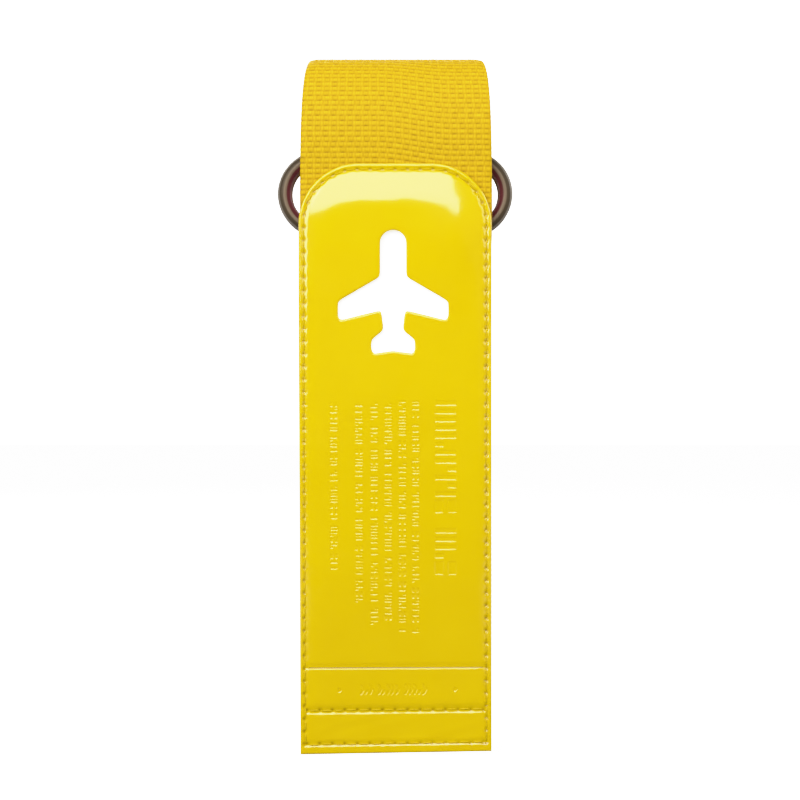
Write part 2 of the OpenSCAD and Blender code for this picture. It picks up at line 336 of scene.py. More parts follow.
def edge_stitches():
    """Centre and direction (x, z, angle) of each stitch round the tag, as in the CAD."""
    w, r = HALF_W - STITCH_SIDE, CORNER - STITCH_SIDE
    top = TAG_H - STITCH_TOP - r
    up, bend_l, over = top - STITCH_LOW, math.pi * r / 2, 2 * (w - r)
    length = 2 * up + 2 * bend_l + over
    n = int(round(length / STITCH_PITCH))
    out = []
    for i in range(n):
        s = (i + 0.5) * length / n
        a, b, c = s - up, s - up - bend_l, s - up - bend_l - over
        if s < up:
            out.append((-w, STITCH_LOW + s, 90))
        elif a < bend_l:
            f = math.radians(90 * a / bend_l)
            out.append((r - w - r * math.cos(f), top + r * math.sin(f), 90 - 90 * a / bend_l))
        elif b < over:
            out.append((r - w + b, TAG_H - STITCH_TOP, 0))
        elif c < bend_l:
            f = math.radians(90 * c / bend_l)
            out.append((w - r + r * math.sin(f), top + r * math.cos(f), -90 * c / bend_l))
        else:
            out.append((w, top - (c - bend_l), -90))
    return out + row_stitches(STITCH_LOW, 2 * w)


def row_stitches(z, width, x=0.0):
    n = int(width // STITCH_PITCH)
    return [(x + (i - (n - 1) / 2) * STITCH_PITCH, z, 0) for i in range(n)]


EDGE = edge_stitches()
SEAM = row_stitches(SEAM_Z, 2 * HALF_W - 2 * STITCH_SIDE - 1.2)


def stitch_dips(x, z, stitches):
    """How much the sheet is pulled in: 1 at the needle holes between stitches, less round them."""
    out = np.zeros(x.shape)
    order = np.argsort(z)
    zs = z[order]
    for cx, cz, a in stitches:
        c, s = math.cos(math.radians(a)), math.sin(math.radians(a))
        for end in (-1, 1):
            hx, hz = cx + end * STITCH_PITCH / 2 * c, cz + end * STITCH_PITCH / 2 * s
            i, j = np.searchsorted(zs, [hz - HOLE_REACH, hz + HOLE_REACH])
            pick = order[i:j]
            pick = pick[np.abs(x[pick] - hx) < HOLE_REACH]
            d2 = (x[pick] - hx) ** 2 + (z[pick] - hz) ** 2
            out[pick] = np.maximum(out[pick], np.exp(-d2 / HOLE_R ** 2))
    return out


# ---------------------------------------------------------------- sheet relief

FOAM_HIGH, FOAM_WIDE = (0.34, 0.86), (3.2, 8.3)  # low on the tag, and how much more near its top
LOBE = 0.48  # a soft lump right of the aeroplane's nose
BORDER_BULGE, EDGE_ROLL = 0.17, 0.42  # outside the stitches
GROOVE_DEPTH, GROOVE_W = 0.11, 0.42  # along the stitches
DIP, DIP_RIGHT, DIP_SEAM, RIGHT_X = 0.13, 0.22, 0.16, 20  # at the needle holes, deeper right of RIGHT_X
# along the lowest edge, the seam and the slit: height, depth, and the lengths of rise, flat and fall
PRESSED_LINES = ((1.9, 0.14, 0.24, 0.5, 1.3), (10.3, 0.14, 0.24, 0.7, 1.8), (21.95, 0.17, 0.3, 0.2, 1.6))
RISE = 0.4  # how much higher the sheet's top lies than in the CAD


def waves(x, z, seed, size):
    """Smooth noise made of a few crossing waves, about -1 to 1."""
    r = np.random.default_rng(seed)
    total = np.zeros(x.shape)
    for _ in range(7):
        a, p = r.uniform(0, math.pi), r.uniform(0, 2 * math.pi)
        k = 2 * math.pi / (size * r.uniform(0.7, 1.6))
        total += np.sin(k * (x * math.cos(a) + z * math.sin(a)) + p)
    return total / 4


def pillow(x, z):
    """How far the front sheet stands out between its stitches."""
    d = np.minimum(u_distance(x, z), z - SEAM_Z)
    lift = smooth((z - 122) / 26)
    t = np.clip(d / (FOAM_WIDE[0] + FOAM_WIDE[1] * lift), 0, 1)
    across = smooth((x - 1) / 12) * (1 - smooth((x - 15) / 8))
    lobe = across * smooth((146 - z) / 12) * (1 - smooth((134 - z) / 25))
    return (FOAM_HIGH[0] + FOAM_HIGH[1] * lift) * (1 - (1 - t) ** 2) + LOBE * lobe


def pressed_line(z, low, depth, rise, flat, fall):
    """A line pressed across the sheet, with a steep lower side that catches the light."""
    s = z - low
    return depth * smooth(s / rise) * (1 - smooth((s - rise - flat) / fall))


def rolled_edge(d, radius):
    return radius * (1 - np.sqrt(1 - np.clip(1 - d / radius, 0, 1) ** 2))


def front_relief(x, z, marks=True):
    """Depth of the front sheet's face behind the CAD face; negative stands out in front of it."""
    d = inside_distance(x, z)
    u = u_distance(x, z)
    border = np.sin(np.clip(d / STITCH_SIDE, 0, 1) * math.pi) * (d < STITCH_SIDE)
    y = -pillow(x, z) - BORDER_BULGE * border * smooth((z - 2) / 4) + rolled_edge(d, EDGE_ROLL)
    line = np.where(z > STITCH_LOW - 0.6, np.abs(u), FAR)
    y = y + GROOVE_DEPTH * np.exp(-(line / GROOVE_W) ** 2)
    y = y + np.where(x > RIGHT_X, DIP_RIGHT, DIP) * stitch_dips(x, z, EDGE)
    y = y + DIP_SEAM * stitch_dips(x, z, SEAM)
    across = smooth((u + 0.1) / 0.8)
    for pressed in PRESSED_LINES:
        y = y + across * pressed_line(z, *pressed)
    calm = smooth(d / 3)
    low = smooth((SEAM_Z - 0.3 - z) / 2)
    y = y + calm * (0.045 * waves(x, z, 5, 26) + 0.012 * waves(x, z, 9, 7))
    y = y + calm * low * 0.05 * waves(x * 0.6, z * 1.6, 21, 5)
    if marks:
        y = y + np.interp(z, *MARK_DEPTHS) * mark_relief(x, z)
    return y


def warp(x, z):
    """The tag narrows a little towards its lower left, and its lower edge isn't quite level."""
    low = np.clip(1 - z / 120, 0, 1)
    tilt = np.clip(1 - z / 30, 0, 1) * 0.017 * x
    return 1.004 * np.where(x < 0, x * (1 - 0.022 * low), x), z + RISE * (z / TAG_H) ** 2 + tilt


# ---------------------------------------------------------------- sheets

def triangulate(loops, points):
    """Triangles between closed loops and over free points: [n, 2] vertices and [m, 3] faces."""
    pts, edges = [], []
    for loop in loops:
        n0 = len(pts)
        pts += [tuple(p) for p in loop]
        edges += [(n0 + i, n0 + (i + 1) % len(loop)) for i in range(len(loop))]
    pts += [tuple(p) for p in points]
    verts, _, faces, *_ = delaunay_2d_cdt([Vector(p) for p in pts], edges, [], 0, 1e-6, False)
    return np.array([(v[0], v[1]) for v in verts]), np.array([f for f in faces if len(f) == 3])


def solid_faces(verts, faces, solid):
    """The faces whose middle is in the solid, all turned anticlockwise."""
    middle = verts[faces].mean(1)
    faces = faces[solid(middle[:, 0], middle[:, 1])]
    a, b, c = (verts[faces[:, i]] for i in range(3))
    turn = (b[:, 0] - a[:, 0]) * (c[:, 1] - a[:, 1]) - (b[:, 1] - a[:, 1]) * (c[:, 0] - a[:, 0])
    return np.where(turn[:, None] > 0, faces, faces[:, ::-1])


def open_edges(faces):
    """Edges used by one triangle, in that triangle's direction."""
    edges = np.concatenate([faces[:, [0, 1]], faces[:, [1, 2]], faces[:, [2, 0]]])
    _, first, count = np.unique(np.sort(edges, 1), axis=0, return_index=True, return_counts=True)
    return edges[first[count == 1]]


def sheet(name, loops, fine, coarse, solid, front_y, back_y, material):
    """A closed sheet with a fine front and a coarse back, which share the points of the loops."""
    v1, f1 = triangulate(loops, fine)
    v2, f2 = triangulate(loops, coarse)
    f1, f2 = solid_faces(v1, f1, solid), solid_faces(v2, f2, solid)
    x1, z1 = warp(*v1.T)
    x2, z2 = warp(*v2.T)
    front = np.stack([x1, front_y(*v1.T), z1], 1)
    back = np.stack([x2, back_y(*v2.T), z2], 1)
    n = len(v1)
    behind = {tuple(p): n + i for i, p in enumerate(np.round(v2, 4))}
    rim = [(a, b, *(behind.get(tuple(np.round(v1[i], 4))) for i in (a, b))) for a, b in open_edges(f1)]
    walls = np.array([(b, a, c, d) for a, b, c, d in rim if c is not None and d is not None])
    return add_mesh(name, np.concatenate([front, back]), [f1, f2[:, ::-1] + n, walls], material)


def grid(x0, x1, z0, z1, step, step_z=None):
    """Points in staggered rows."""
    xs, zs = np.arange(x0, x1 + 1e-9, step), np.arange(z0, z1 + 1e-9, step_z or step)
    gx, gz = np.meshgrid(xs, zs)
    gx = gx + (np.arange(len(zs)) % 2)[:, None] * step / 2
    return np.stack([gx.ravel(), gz.ravel()], 1)


def tag_grid(inset, step, margin):
    """Points over the tag from inset, those less than margin from its outline left out."""
    points = grid(-HALF_W + inset, HALF_W - inset, inset, TAG_H - inset, step)
    return points[inside_distance(*points.T) > margin]


def unmarked(points):
    return points[~(within(*points.T, MARK_AREAS[0]) | within(*points.T, MARK_AREAS[1]))]


def front_sheet_mesh(material):
    step, step_z, mark_step = 0.36 * FINE, 0.16 * FINE, 0.17 * FINE
    slit_x = np.linspace(-SLIT_HALF, SLIT_HALF, int(2 * SLIT_HALF / (0.4 * FINE)))
    lower, upper = (np.full(len(slit_x), SLIT_Z + side * SLIT_H / 2) for side in (-1, 1))
    slit = np.concatenate([np.stack([slit_x, lower], 1), np.stack([slit_x[::-1], upper], 1)])
    free = np.concatenate([
        unmarked(grid(-HALF_W, HALF_W, LOW_BAND, TAG_H, step)),
        *(grid(*area, mark_step) for area in MARK_GRIDS),
        unmarked(grid(-HALF_W, HALF_W, 0.3, LOW_BAND, step, step_z)),
    ])
    depths = (0.05, 0.12, 0.2, 0.3, 0.42, 0.6, 0.8, 0.98, 1.12, 1.26, 1.4, 1.54, 1.7, 1.9, 2.15, 2.45)
    rings = np.concatenate([outline_points(d, step) for d in depths[::int(FINE)]])
    free = np.concatenate([free[inside_distance(*free.T) > 2.6], rings])
    free = free[(plane_distance(*free.T) > 0.12) & (slit_distance(*free.T) > 0.07)]
    coarse = tag_grid(1.5, 1.6, 1.2)
    coarse = coarse[(plane_distance(*coarse.T) > 0.5) & (slit_distance(*coarse.T) > 0.4)]

    def solid(x, z):
        return (plane_distance(x, z) >= 0) & (slit_distance(x, z) >= 0) & (inside_distance(x, z) > 0)

    def front(x, z):
        rim = 0.10 * np.clip(1 - np.abs(plane_distance(x, z)) / 0.5, 0, 1) ** 2
        return FACE_Y + (front_relief(x, z) + rim)

    def back(x, z):
        inner = smooth((u_distance(x, z) - 0.4) / 1.5) * smooth((z - SEAM_Z - 0.5) / 1.0)
        return FACE_Y + (1 - inner) * SHEET_T + inner * (0.72 - pillow(x, z))

    loops = [outline_points(0, step), PLANE, slit]
    ob = sheet("tag_front_sheet", loops, free, coarse, solid, front, back, material)
    x, z = np.array([(v.co.x / MM, v.co.z / MM) for v in ob.data.vertices]).T
    z = z - RISE * (z / TAG_H) ** 2
    # the holes attribute: how far the sheet is pulled in at the needle holes, which the material paints
    # as shade
    float_attribute(ob, "holes", np.maximum(stitch_dips(x, z, EDGE), stitch_dips(x, z, SEAM)) ** 1.8)
    return ob


def back_sheet_mesh(material):
    """The plain sheet behind. It is made facing forwards, then turned inside out."""
    step = 0.6 * FINE
    depths = (0.1, 0.25, 0.45, 0.8, 1.1, 1.35, 1.6, 1.9, 2.4)
    rings = np.concatenate([outline_points(d, step) for d in depths])
    free = tag_grid(0, 0.8 * FINE, 2.7)
    free = free[np.abs(free[:, 1] - SEAM_Z) > 1.2]
    seam_rows = grid(-HALF_W + 3, HALF_W - 3, SEAM_Z - 1, SEAM_Z + 1, 0.6, 0.25)

    def solid(x, z):
        return inside_distance(x, z) > 0

    def outer_face(x, z):
        d, u = inside_distance(x, z), u_distance(x, z)
        side = np.where(z > STITCH_LOW - 0.6, np.abs(u), FAR)
        line = np.minimum(side, np.where(u > -0.2, np.abs(z - STITCH_LOW), FAR))
        seam = np.where(u > 0.3, np.abs(z - SEAM_Z), FAR)
        y = rolled_edge(d, 0.4) + 0.25 * np.exp(-(line / 0.45) ** 2) + 0.25 * np.exp(-(seam / 0.45) ** 2)
        return KEEPER_Y - y - 0.02 * waves(x, z, 3, 20) * smooth(d / 3) - 0.02

    def inner_face(x, z):
        return np.full(x.shape, BACK_Y + 0.02)

    points = np.concatenate([free, rings, seam_rows])
    ob = sheet("tag_back_sheet", [outline_points(0, step)], points, tag_grid(2, 2.4, 1.5), solid,
               outer_face, inner_face, material)
    ob.data.flip_normals()
    return ob


# ---------------------------------------------------------------- thread

THREAD_R, THREAD_L = 0.22, STITCH_PITCH * 0.43


def thread_mesh(name, stitches, face_y, outward, material, warped=True):
    """Twisted thread: one arched stitch per place, its ends going down into the needle holes.
    face_y is where the surface under each stitch lies."""
    n_long, n_round = (12, 10) if FINE == 1 else (8, 6)
    t = np.linspace(-1, 1, n_long)
    around = np.linspace(0, 2 * np.pi, n_round, endpoint=False)
    t, around = np.meshgrid(t, around, indexing="ij")
    along = t * THREAD_L
    taper = np.sqrt(np.clip(1 - np.abs(t) ** 5 * 0.6, 0.05, 1))
    r = THREAD_R * taper * (1 + 0.10 * np.cos(2 * (around - along * 2.6)))
    side, out = r * np.cos(around), r * 0.85 * np.sin(around) + 0.05 - 0.36 * np.abs(t) ** 3
    quads = tube_faces(n_long, n_round)
    first = np.arange(n_round)
    caps = np.array([first[::-1], (n_long - 1) * n_round + first])
    verts, faces, ends = [], [], []
    for i, ((cx, cz, a), y) in enumerate(zip(stitches, np.broadcast_to(face_y, len(stitches)))):
        c, s = math.cos(math.radians(a)), math.sin(math.radians(a))
        shift = rng.uniform(-0.06, 0.06, 2)
        x = cx + along * c - side * s + shift[0] * abs(s)
        z = cz + along * s + side * c + shift[1] * abs(c)
        if warped:
            x, z = warp(x, z)
        verts.append(np.stack([x, y + outward * out, z], -1).reshape(-1, 3))
        faces.append(quads + i * n_long * n_round)
        ends.append(caps + i * n_long * n_round)
    parts = [np.concatenate(faces), np.concatenate(ends)]
    return add_mesh(name, np.concatenate(verts), parts, material)


def tube_faces(n, m):
    """Quads of a tube with n rings of m points."""
    i, j = np.meshgrid(np.arange(n - 1), np.arange(m), indexing="ij")
    k = (j + 1) % m
    return np.stack([i * m + j, i * m + k, (i + 1) * m + k, (i + 1) * m + j], -1).reshape(-1, 4)


# ---------------------------------------------------------------- webbing

SIDE_ROLL, SIDE_COLUMNS = 1.1, np.array([0, 0.04, 0.12, 0.25, 0.42, 0.68])  # close points at the sides
SIDE_ROUND, SELVEDGE = 0.7, 2.6  # how far in the sides are rounded, and the weave is flatter
WEAVE_DEPTH, FACE_DROP, ROW_BULGE = 0.25, 0.2, 0.06


def bend(centre, r, a0, a1):
    """Points round a bend as (y, z, direction)."""
    turn = 90 if a1 > a0 else -90
    cy, cz = centre
    return [(cy + r * math.cos(math.radians(a)), cz + r * math.sin(math.radians(a)), a + turn)
            for a in np.linspace(a0, a1, 14)]


def dense(pts):
    """Adds the length along the line as a fourth column and makes the direction continuous."""
    p = np.array(pts, float)
    s = np.concatenate([[0], np.cumsum(np.hypot(np.diff(p[:, 0]), np.diff(p[:, 1])))])
    angle = np.degrees(np.unwrap(np.radians(p[:, 2])))
    keep = np.concatenate([[True], np.diff(s) > 1e-6])
    return np.stack([p[:, 0], p[:, 1], angle, s], 1)[keep]


def belt_path():
    """The belt's middle line as (y, z, direction, length), from its end inside the tag to its hem."""
    pts = [(BELT_Y, web_lo[2], 90), (BELT_Y, LOOP_Z - 0.01, 90)]
    a, b, middle = (RUN_Y - BELT_Y) / 2, LOOP_TOP - BELT_T / 2 - LOOP_Z, (RUN_Y + BELT_Y) / 2
    for f in np.radians(np.arange(180, -1, -2)):
        direction = math.degrees(math.atan2(-b * math.cos(f), a * math.sin(f)))
        pts.append((middle + a * math.cos(f), LOOP_Z + b * math.sin(f), direction))
    r = FOLD_PITCH / 2
    low_z = r + BELT_T / 2
    for k in range((FOLD_N - 1) // 2 + 1):
        if k:
            top_z = FOLD_HIGH - r - FOLD_STEP * ((k + 1) % 3)
            pts += bend((RUN_Y - FOLD_PITCH * (2 * k - 0.5), top_z), r, 0, 180)
        z = low_z if k == 0 else low_z + 1.2 + FOLD_STEP * ((2 * k) % 3)
        pts += bend((RUN_Y - FOLD_PITCH * (2 * k + 0.5), z), r, 0, -180)
    pts += bend((TAIL_Y - HEM_R, TAIL_Z - HEM_R - BELT_T / 2), HEM_R, 0, 180)
    pts.append((TAIL_Y - 2 * HEM_R, TAIL_Z - HEM_L, -90))
    return dense(pts)


def weave(u, q, plain):
    """Height of the woven face, 0 to 1: rows across the belt, each of strands in twos and ones.
    Plain has rows only."""
    row = np.floor(q / ROW)
    repeat = u / (2 * STRAND) + 0.05 * np.sin(row * 2.4) + 0.010 * row + 0.13 * (row % 2)
    group = np.floor(repeat)
    gap = (0.5 + 0.5 * np.cos(2 * math.pi * q / ROW)) ** 2
    sides = 0.5 + 0.5 * np.cos(2 * math.pi * repeat)
    part = repeat - group
    pair = 1 - (np.minimum(np.abs(part - 0.38), np.abs(part - 0.62)) / 0.17) ** 2
    single = 1 - (np.minimum(part, 1 - part) / 0.20) ** 2
    between = 1 - np.clip(np.maximum(pair, single), 0, 1)
    uneven = 0.08 * np.sin(row * 4.1 + group * 9.7)
    if plain:
        between, sides, uneven = 0.4, 0.5, 0.0
    low = gap * (1 - 0.42 * sides) + (1 - gap) * 0.52 * between
    return np.clip(0.94 + uneven - 0.86 * low, 0, 1)


def nothing(*_):
    return 0.0


def webbing(name, path, q0, q1, width, material, du, inner_du=None, middle_x=nothing, skew=nothing,
            narrow=nothing, droop=nothing, sway=nothing, hidden_to=None, plump=0.0, plain=False):
    """A closed woven strip along a path, from length q0 to q1. du and inner_du are the steps across its
    two faces. skew slants the rows, narrow draws the sides in, droop lowers them, sway bends the layers,
    plump thickens them, and up to hidden_to there are few rows."""
    half = width / 2
    q = np.linspace(q0, q1, int(round((q1 - q0) / ROW_STEP)) + 1)
    if hidden_to is not None:
        q = np.concatenate([np.arange(q0, hidden_to, 2 * ROW), q[q > hidden_to]])

    def columns(step):
        m = max(4, int(round((width - 2 * SIDE_ROLL) / step)))
        middle = np.linspace(SIDE_ROLL - half, half - SIDE_ROLL, m + 1)
        return np.concatenate([SIDE_COLUMNS - half, middle, half - SIDE_COLUMNS[::-1]])

    outer, inner = columns(du), columns(inner_du or du)[1:-1][::-1]
    u, q = np.meshgrid(np.concatenate([outer, inner]), q)
    face = np.broadcast_to(np.repeat((1.0, -1.0), (len(outer), len(inner))), u.shape)
    n, m = u.shape
    s = q - skew(u, q)
    edge = np.clip((half - np.abs(u)) / SIDE_ROUND, 0, 1)
    thick = BELT_T / 2 * np.sqrt(1 - (1 - edge) ** 2.4)
    high = weave(u, q, plain)
    relief = WEAVE_DEPTH * high * np.sqrt(edge) * (0.3 + 0.7 * smooth((half - np.abs(u)) / SELVEDGE))
    off = face * np.maximum(thick - FACE_DROP + relief + plump, 0) + sway(u, s) - droop(u, s)
    y, z, angle = (np.interp(s, path[:, 3], path[:, i]) for i in range(3))
    angle = np.radians(angle)
    in_row = 2 * (q / ROW - np.floor(q / ROW)) - 1
    bulge = ROW_BULGE * (1 - in_row ** 2) * np.sign(u) * (1 - edge)
    x = middle_x(s) + u * (1 - narrow(s)) + bulge
    verts = np.stack([x, y - np.sin(angle) * off, z + np.cos(angle) * off], -1).reshape(-1, 3)
    first = np.arange(m)[None]
    ob = add_mesh(name, verts, [tube_faces(n, m), first[:, ::-1], (n - 1) * m + first], material)
    # the weave's height, which the yarn material turns into painted shade between the strands
    float_attribute(ob, "weave", high.reshape(-1))
    return ob


# ---------------------------------------------------------------- materials

def feed(nt, target, values=(), **named):
    """Sets a node's inputs, by order or by name. A value that is another node's output is linked."""
    sockets = list(zip(target.inputs, values))
    sockets += [(target.inputs[key.replace("_", " ")], value) for key, value in named.items()]
    for socket, value in sockets:
        if isinstance(value, bpy.types.NodeSocket):
            nt.links.new(value, socket)
        else:
            socket.default_value = value


def node(nt, kind, values=(), settings=(), **named):
    made = nt.nodes.new("ShaderNode" + kind)
    for key, value in dict(settings).items():
        setattr(made, key, value)
    feed(nt, made, values, **named)
    return made


def new_material(name):
    material = bpy.data.materials.new(name)
    material.use_nodes = True
    nt = material.node_tree
    return material, nt, nt.nodes["Principled BSDF"]


def coordinates(nt, kind="Object"):
    return node(nt, "TexCoord").outputs[kind]


def noise(nt, at, scale, detail):
    return node(nt, "TexNoise", Vector=at, Scale=scale, Detail=detail).outputs["Fac"]


def maths(nt, operation, *values):
    return node(nt, "Math", values, {"operation": operation}).outputs[0]


def vector_maths(nt, operation, *values, result="Vector"):
    return node(nt, "VectorMath", values, {"operation": operation}).outputs[result]


def mix_colours(nt, factor, a, b, blend="MIX"):
    settings = {"data_type": "RGBA", "blend_type": blend}
    return node(nt, "Mix", settings=settings, Factor=factor, A=a, B=b).outputs["Result"]


def mix_shaders(nt, factor, a, b):
    return node(nt, "MixShader", (factor, a, b)).outputs[0]


def map_range(nt, value, low, high, to_low, to_high, ease="LINEAR"):
    made = node(nt, "MapRange", settings={"interpolation_type": ease}, Value=value, From_Min=low,
                From_Max=high, To_Min=to_low, To_Max=to_high)
    return made.outputs["Result"]


def ramp(nt, fac, stops):
    made = node(nt, "ValToRGB", Fac=fac)
    elements = made.color_ramp.elements
    while len(elements) < len(stops):
        elements.new(0.5)
    for element, (position, colour) in zip(elements, stops):
        element.position = position
        element.color = (*colour, 1)
    return made.outputs["Color"]


def two_tones(nt, fac, dark, light):
    return ramp(nt, fac, [(0.3, dark), (0.7, light)])


def pvc_material():
    """Glossy soft plastic: deep yellow with an uneven gloss, and painted light from above that makes it
    a little paler higher up. Painted shade darkens it round the needle holes, by the holes attribute."""
    material, nt, surface = new_material("patent_pvc")
    at = coordinates(nt)
    yellow = two_tones(nt, noise(nt, at, 35.0, 3.0), (0.445, 0.312, 0.0006), (0.470, 0.335, 0.0008))
    # painted shade: the sheet is coloured darker round the needle holes, more where it is pulled in
    # deeper
    holes = node(nt, "Attribute", settings={"attribute_name": "holes"}).outputs["Fac"]
    tone = mix_colours(nt, maths(nt, "MULTIPLY", holes, 0.7), yellow, (0.17, 0.095, 0.0006, 1))
    # painted light from above: the sheet's colour is made a little paler higher up
    paler = map_range(nt, node(nt, "SeparateXYZ", (at,)).outputs["Z"], 0.03, 0.14, 0.98, 1.08)
    base = node(nt, "VectorMath", (tone,), {"operation": "SCALE"}, Scale=paler).outputs[0]
    rough = map_range(nt, noise(nt, at, 220.0, 2.0), 0, 1, 0.07, 0.12)
    feed(nt, surface, Base_Color=base, Roughness=rough, IOR=1.5)
    return material


def webbing_material():
    """Polyester yarn: golden, with a fine fibre grain and painted shade, darker down between the
    strands.
    """
    material, nt, surface = new_material("webbing_yarn")
    high = node(nt, "Attribute", settings={"attribute_name": "weave"}).outputs["Fac"]
    # painted shade: the yarn is coloured darker where the weave is low, between the strands
    tone = ramp(nt, high, [
        (0.0, (0.24, 0.140, 0.0004)), (0.5, (0.395, 0.248, 0.0009)), (1.0, (0.520, 0.338, 0.0034))])
    fibres = noise(nt, coordinates(nt), 2400.0, 2.0)
    grain = two_tones(nt, fibres, (0.80, 0.78, 0.7), (1.0, 1.0, 1.0))
    bump = node(nt, "Bump", Strength=0.25, Distance=0.0001, Height=fibres).outputs["Normal"]
    feed(nt, surface, Base_Color=mix_colours(nt, 0.5, tone, grain, "MULTIPLY"), Roughness=0.62,
         Specular_IOR_Level=0.09, Normal=bump)
    return material


def thread_material():
    material, nt, surface = new_material("sewing_thread")
    fibres = noise(nt, coordinates(nt), 3000.0, 2.0)
    tone = two_tones(nt, fibres, (0.35, 0.245, 0.0008), (0.44, 0.315, 0.0014))
    feed(nt, surface, Base_Color=tone, Roughness=0.5, Specular_IOR_Level=0.08)
    return material


# painted reflections and shade on the wire, as bands set by which way its surface faces
RING_PAINTED_REFLECTIONS = [  # from the side of the wire that faces the middle of the ring to the side facing out
    (0.0, (0.26, 0.165, 0.160)), (0.08, (0.18, 0.085, 0.090)), (0.15, (0.092, 0.019, 0.023)),
    (0.32, (0.068, 0.016, 0.016)), (0.39, (0.125, 0.085, 0.056)), (0.53, (0.140, 0.102, 0.068)),
    (0.63, (0.048, 0.033, 0.019)), (0.81, (0.044, 0.031, 0.019)), (0.88, (0.14, 0.12, 0.10)),
    (1.0, (0.17, 0.14, 0.115)),
]


def ring_material():
    """Dark plated wire, mottled, with reflections and shade painted in bands across it: olive brown,
    and dark red on the side facing the middle of the ring.
    """
    material, nt, surface = new_material("gunmetal")
    at = coordinates(nt)
    mottle = noise(nt, at, 90.0, 4.0)
    plate = two_tones(nt, mottle, (0.95, 0.97, 0.95), (1.08, 1.10, 1.07))
    wide, tall = (ring_hi - ring_lo)[[0, 2]]
    reach, high = (wide - tall) / 2 * MM, (ring_hi[2] + ring_lo[2]) / 2 * MM
    middle = vector_maths(nt, "MAXIMUM", at, (-reach, -1, high))
    middle = vector_maths(nt, "MINIMUM", middle, (reach, 1, high))
    outward = vector_maths(nt, "NORMALIZE", vector_maths(nt, "SUBTRACT", at, middle))
    facing = vector_maths(nt, "DOT_PRODUCT", outward, coordinates(nt, "Normal"), result="Value")
    # painted reflections and shade: the colour follows which way the wire's surface faces
    band = ramp(nt, map_range(nt, facing, -1, 1, 0, 1), RING_PAINTED_REFLECTIONS)
    feed(nt, surface, Base_Color=mix_colours(nt, 1.0, band, plate, "MULTIPLY"), Metallic=0.10,
         Roughness=map_range(nt, mottle, 0, 1, 0.30, 0.40), Specular_IOR_Level=0.10)
    return material


def card_material():
    """White card. The faint glow is painted light, which keeps it white where the cut-out would shade
    it.
    """
    material, nt, surface = new_material("card_paper")
    fibres = noise(nt, coordinates(nt), 900.0, 4.0)
    tone = two_tones(nt, fibres, (0.93, 0.93, 0.925), (0.96, 0.96, 0.955))
    # painted light: the card glows faintly though it is no lamp
    feed(nt, surface, Base_Color=tone, Roughness=0.7, Emission_Color=(1, 1, 1, 1), Emission_Strength=0.5)
    return material


PVC, YARN, THREAD = pvc_material(), webbing_material(), thread_material()
METAL, CARD = ring_material(), card_material()

# ---------------------------------------------------------------- tag

place(front_sheet_mesh(PVC), "tag", "sheet", "front_sheet")
place(back_sheet_mesh(PVC), "tag", "sheet", "back_sheet")


def front_y(stitches):
    x, z = np.array(stitches, float)[:, :2].T
    return FACE_Y + front_relief(x, z, marks=False)


for title, stitches, face_y, outward, cad_node in (
    ("edge_stitching_front", EDGE, front_y(EDGE), -1, "edge_thread_front"),
    ("seam_stitching_front", SEAM, front_y(SEAM), -1, "seam_thread_front"),
    ("edge_stitching_back", EDGE, KEEPER_Y - 0.25, 1, "edge_thread_back"),
    ("seam_stitching_back", SEAM, KEEPER_Y - 0.25, 1, "seam_thread_back"),
):
    place(thread_mesh(title, stitches, face_y, outward, THREAD), "tag", "thread", cad_node)

# ---------------------------------------------------------------- belt

BELT_WIDER = 0.5  # the woven strip against the CAD belt
SEWN_IN = 145  # the belt's length that is hidden between the sheets
BEND_FROM, BEND_TO = 151.5, 161.5  # heights that mark where the belt would bend if the tag were lifted; nothing here bends it there
SKEW = 2.2  # how far the rows drop from one side to the other
HEM_ROWS = (2.5, 6)  # heights of the stitching above the hem's edge

PATH = belt_path()
CREST = PATH[np.argmax(PATH[:, 1]), 3]  # lengths along the belt: the top of the loop,
LOOP_END = PATH[np.argmax((PATH[:, 3] > CREST) & (PATH[:, 1] < 12)), 3]  # the first bend at the bottom,
TOTAL = PATH[-1, 3]  # and the end of the hem


def row_skew(u, q):
    """The rows step down towards the right on the front, and lie straight elsewhere."""
    return SKEW * smooth((u + 5.5) / 21) * smooth((q - 110) / 30) * smooth((CREST + 40 - q) / 40)


def narrowing(s):
    """How much the belt is drawn in: over the top of the loop, and a little where it is out of sight."""
    hidden = 0.035 * (1 - smooth((s - 120) / 16)) + 0.012 * smooth((s - CREST - 30) / 60)
    return 0.098 * np.exp(-np.hypot(s - CREST, 1.2) / 11) + hidden


def edge_droop(u, s):
    return 0.12 * np.exp(-((s - CREST) / 10.0) ** 2) * smooth((np.abs(u) - 22.5) / 2.5)


def slack(u, s):
    """The folded layers bow a little, each in its own way."""
    on = smooth((s - LOOP_END) / 20) * smooth((TOTAL - 20 - s) / 10)
    return on * (0.17 * np.sin(s / 17.3 + u * 0.035) + 0.10 * np.sin(s / 7.9 - u * 0.09 + 1.0))


def belt_middle(s):
    """The belt's middle wanders a little from side to side behind the tag."""
    after = s - CREST
    wander = 0.1 + 0.2 * np.sin(after / 71) + 0.15 * np.sin(after / 37)
    return BELT_X - 0.1 + smooth(after / 60) * wander


def mid_row(s):
    """The middle of a row, where two pieces of belt can meet without a visible join."""
    return ROW * (round(s / ROW) + 0.5)


def belt_piece(name, q0, q1, du, **shape):
    width = BELT_W + BELT_WIDER
    return webbing(name, PATH, q0, q1, width, YARN, du, middle_x=belt_middle, narrow=narrowing, **shape)


over, turn, tail = (mid_row(s) for s in (CREST + 16, LOOP_END, TOTAL - HEM_L - TAIL_Z + 3))
# the crest of the last fold before the tail, whose weave shows when the tag is lifted
last_fold = PATH[(PATH[:, 3] > tail - 135) & (PATH[:, 3] < tail - 60)]
fold_crest = last_fold[np.argmax(last_fold[:, 1]), 3]
top_from, top_to = mid_row(fold_crest - 5), mid_row(fold_crest + 27)

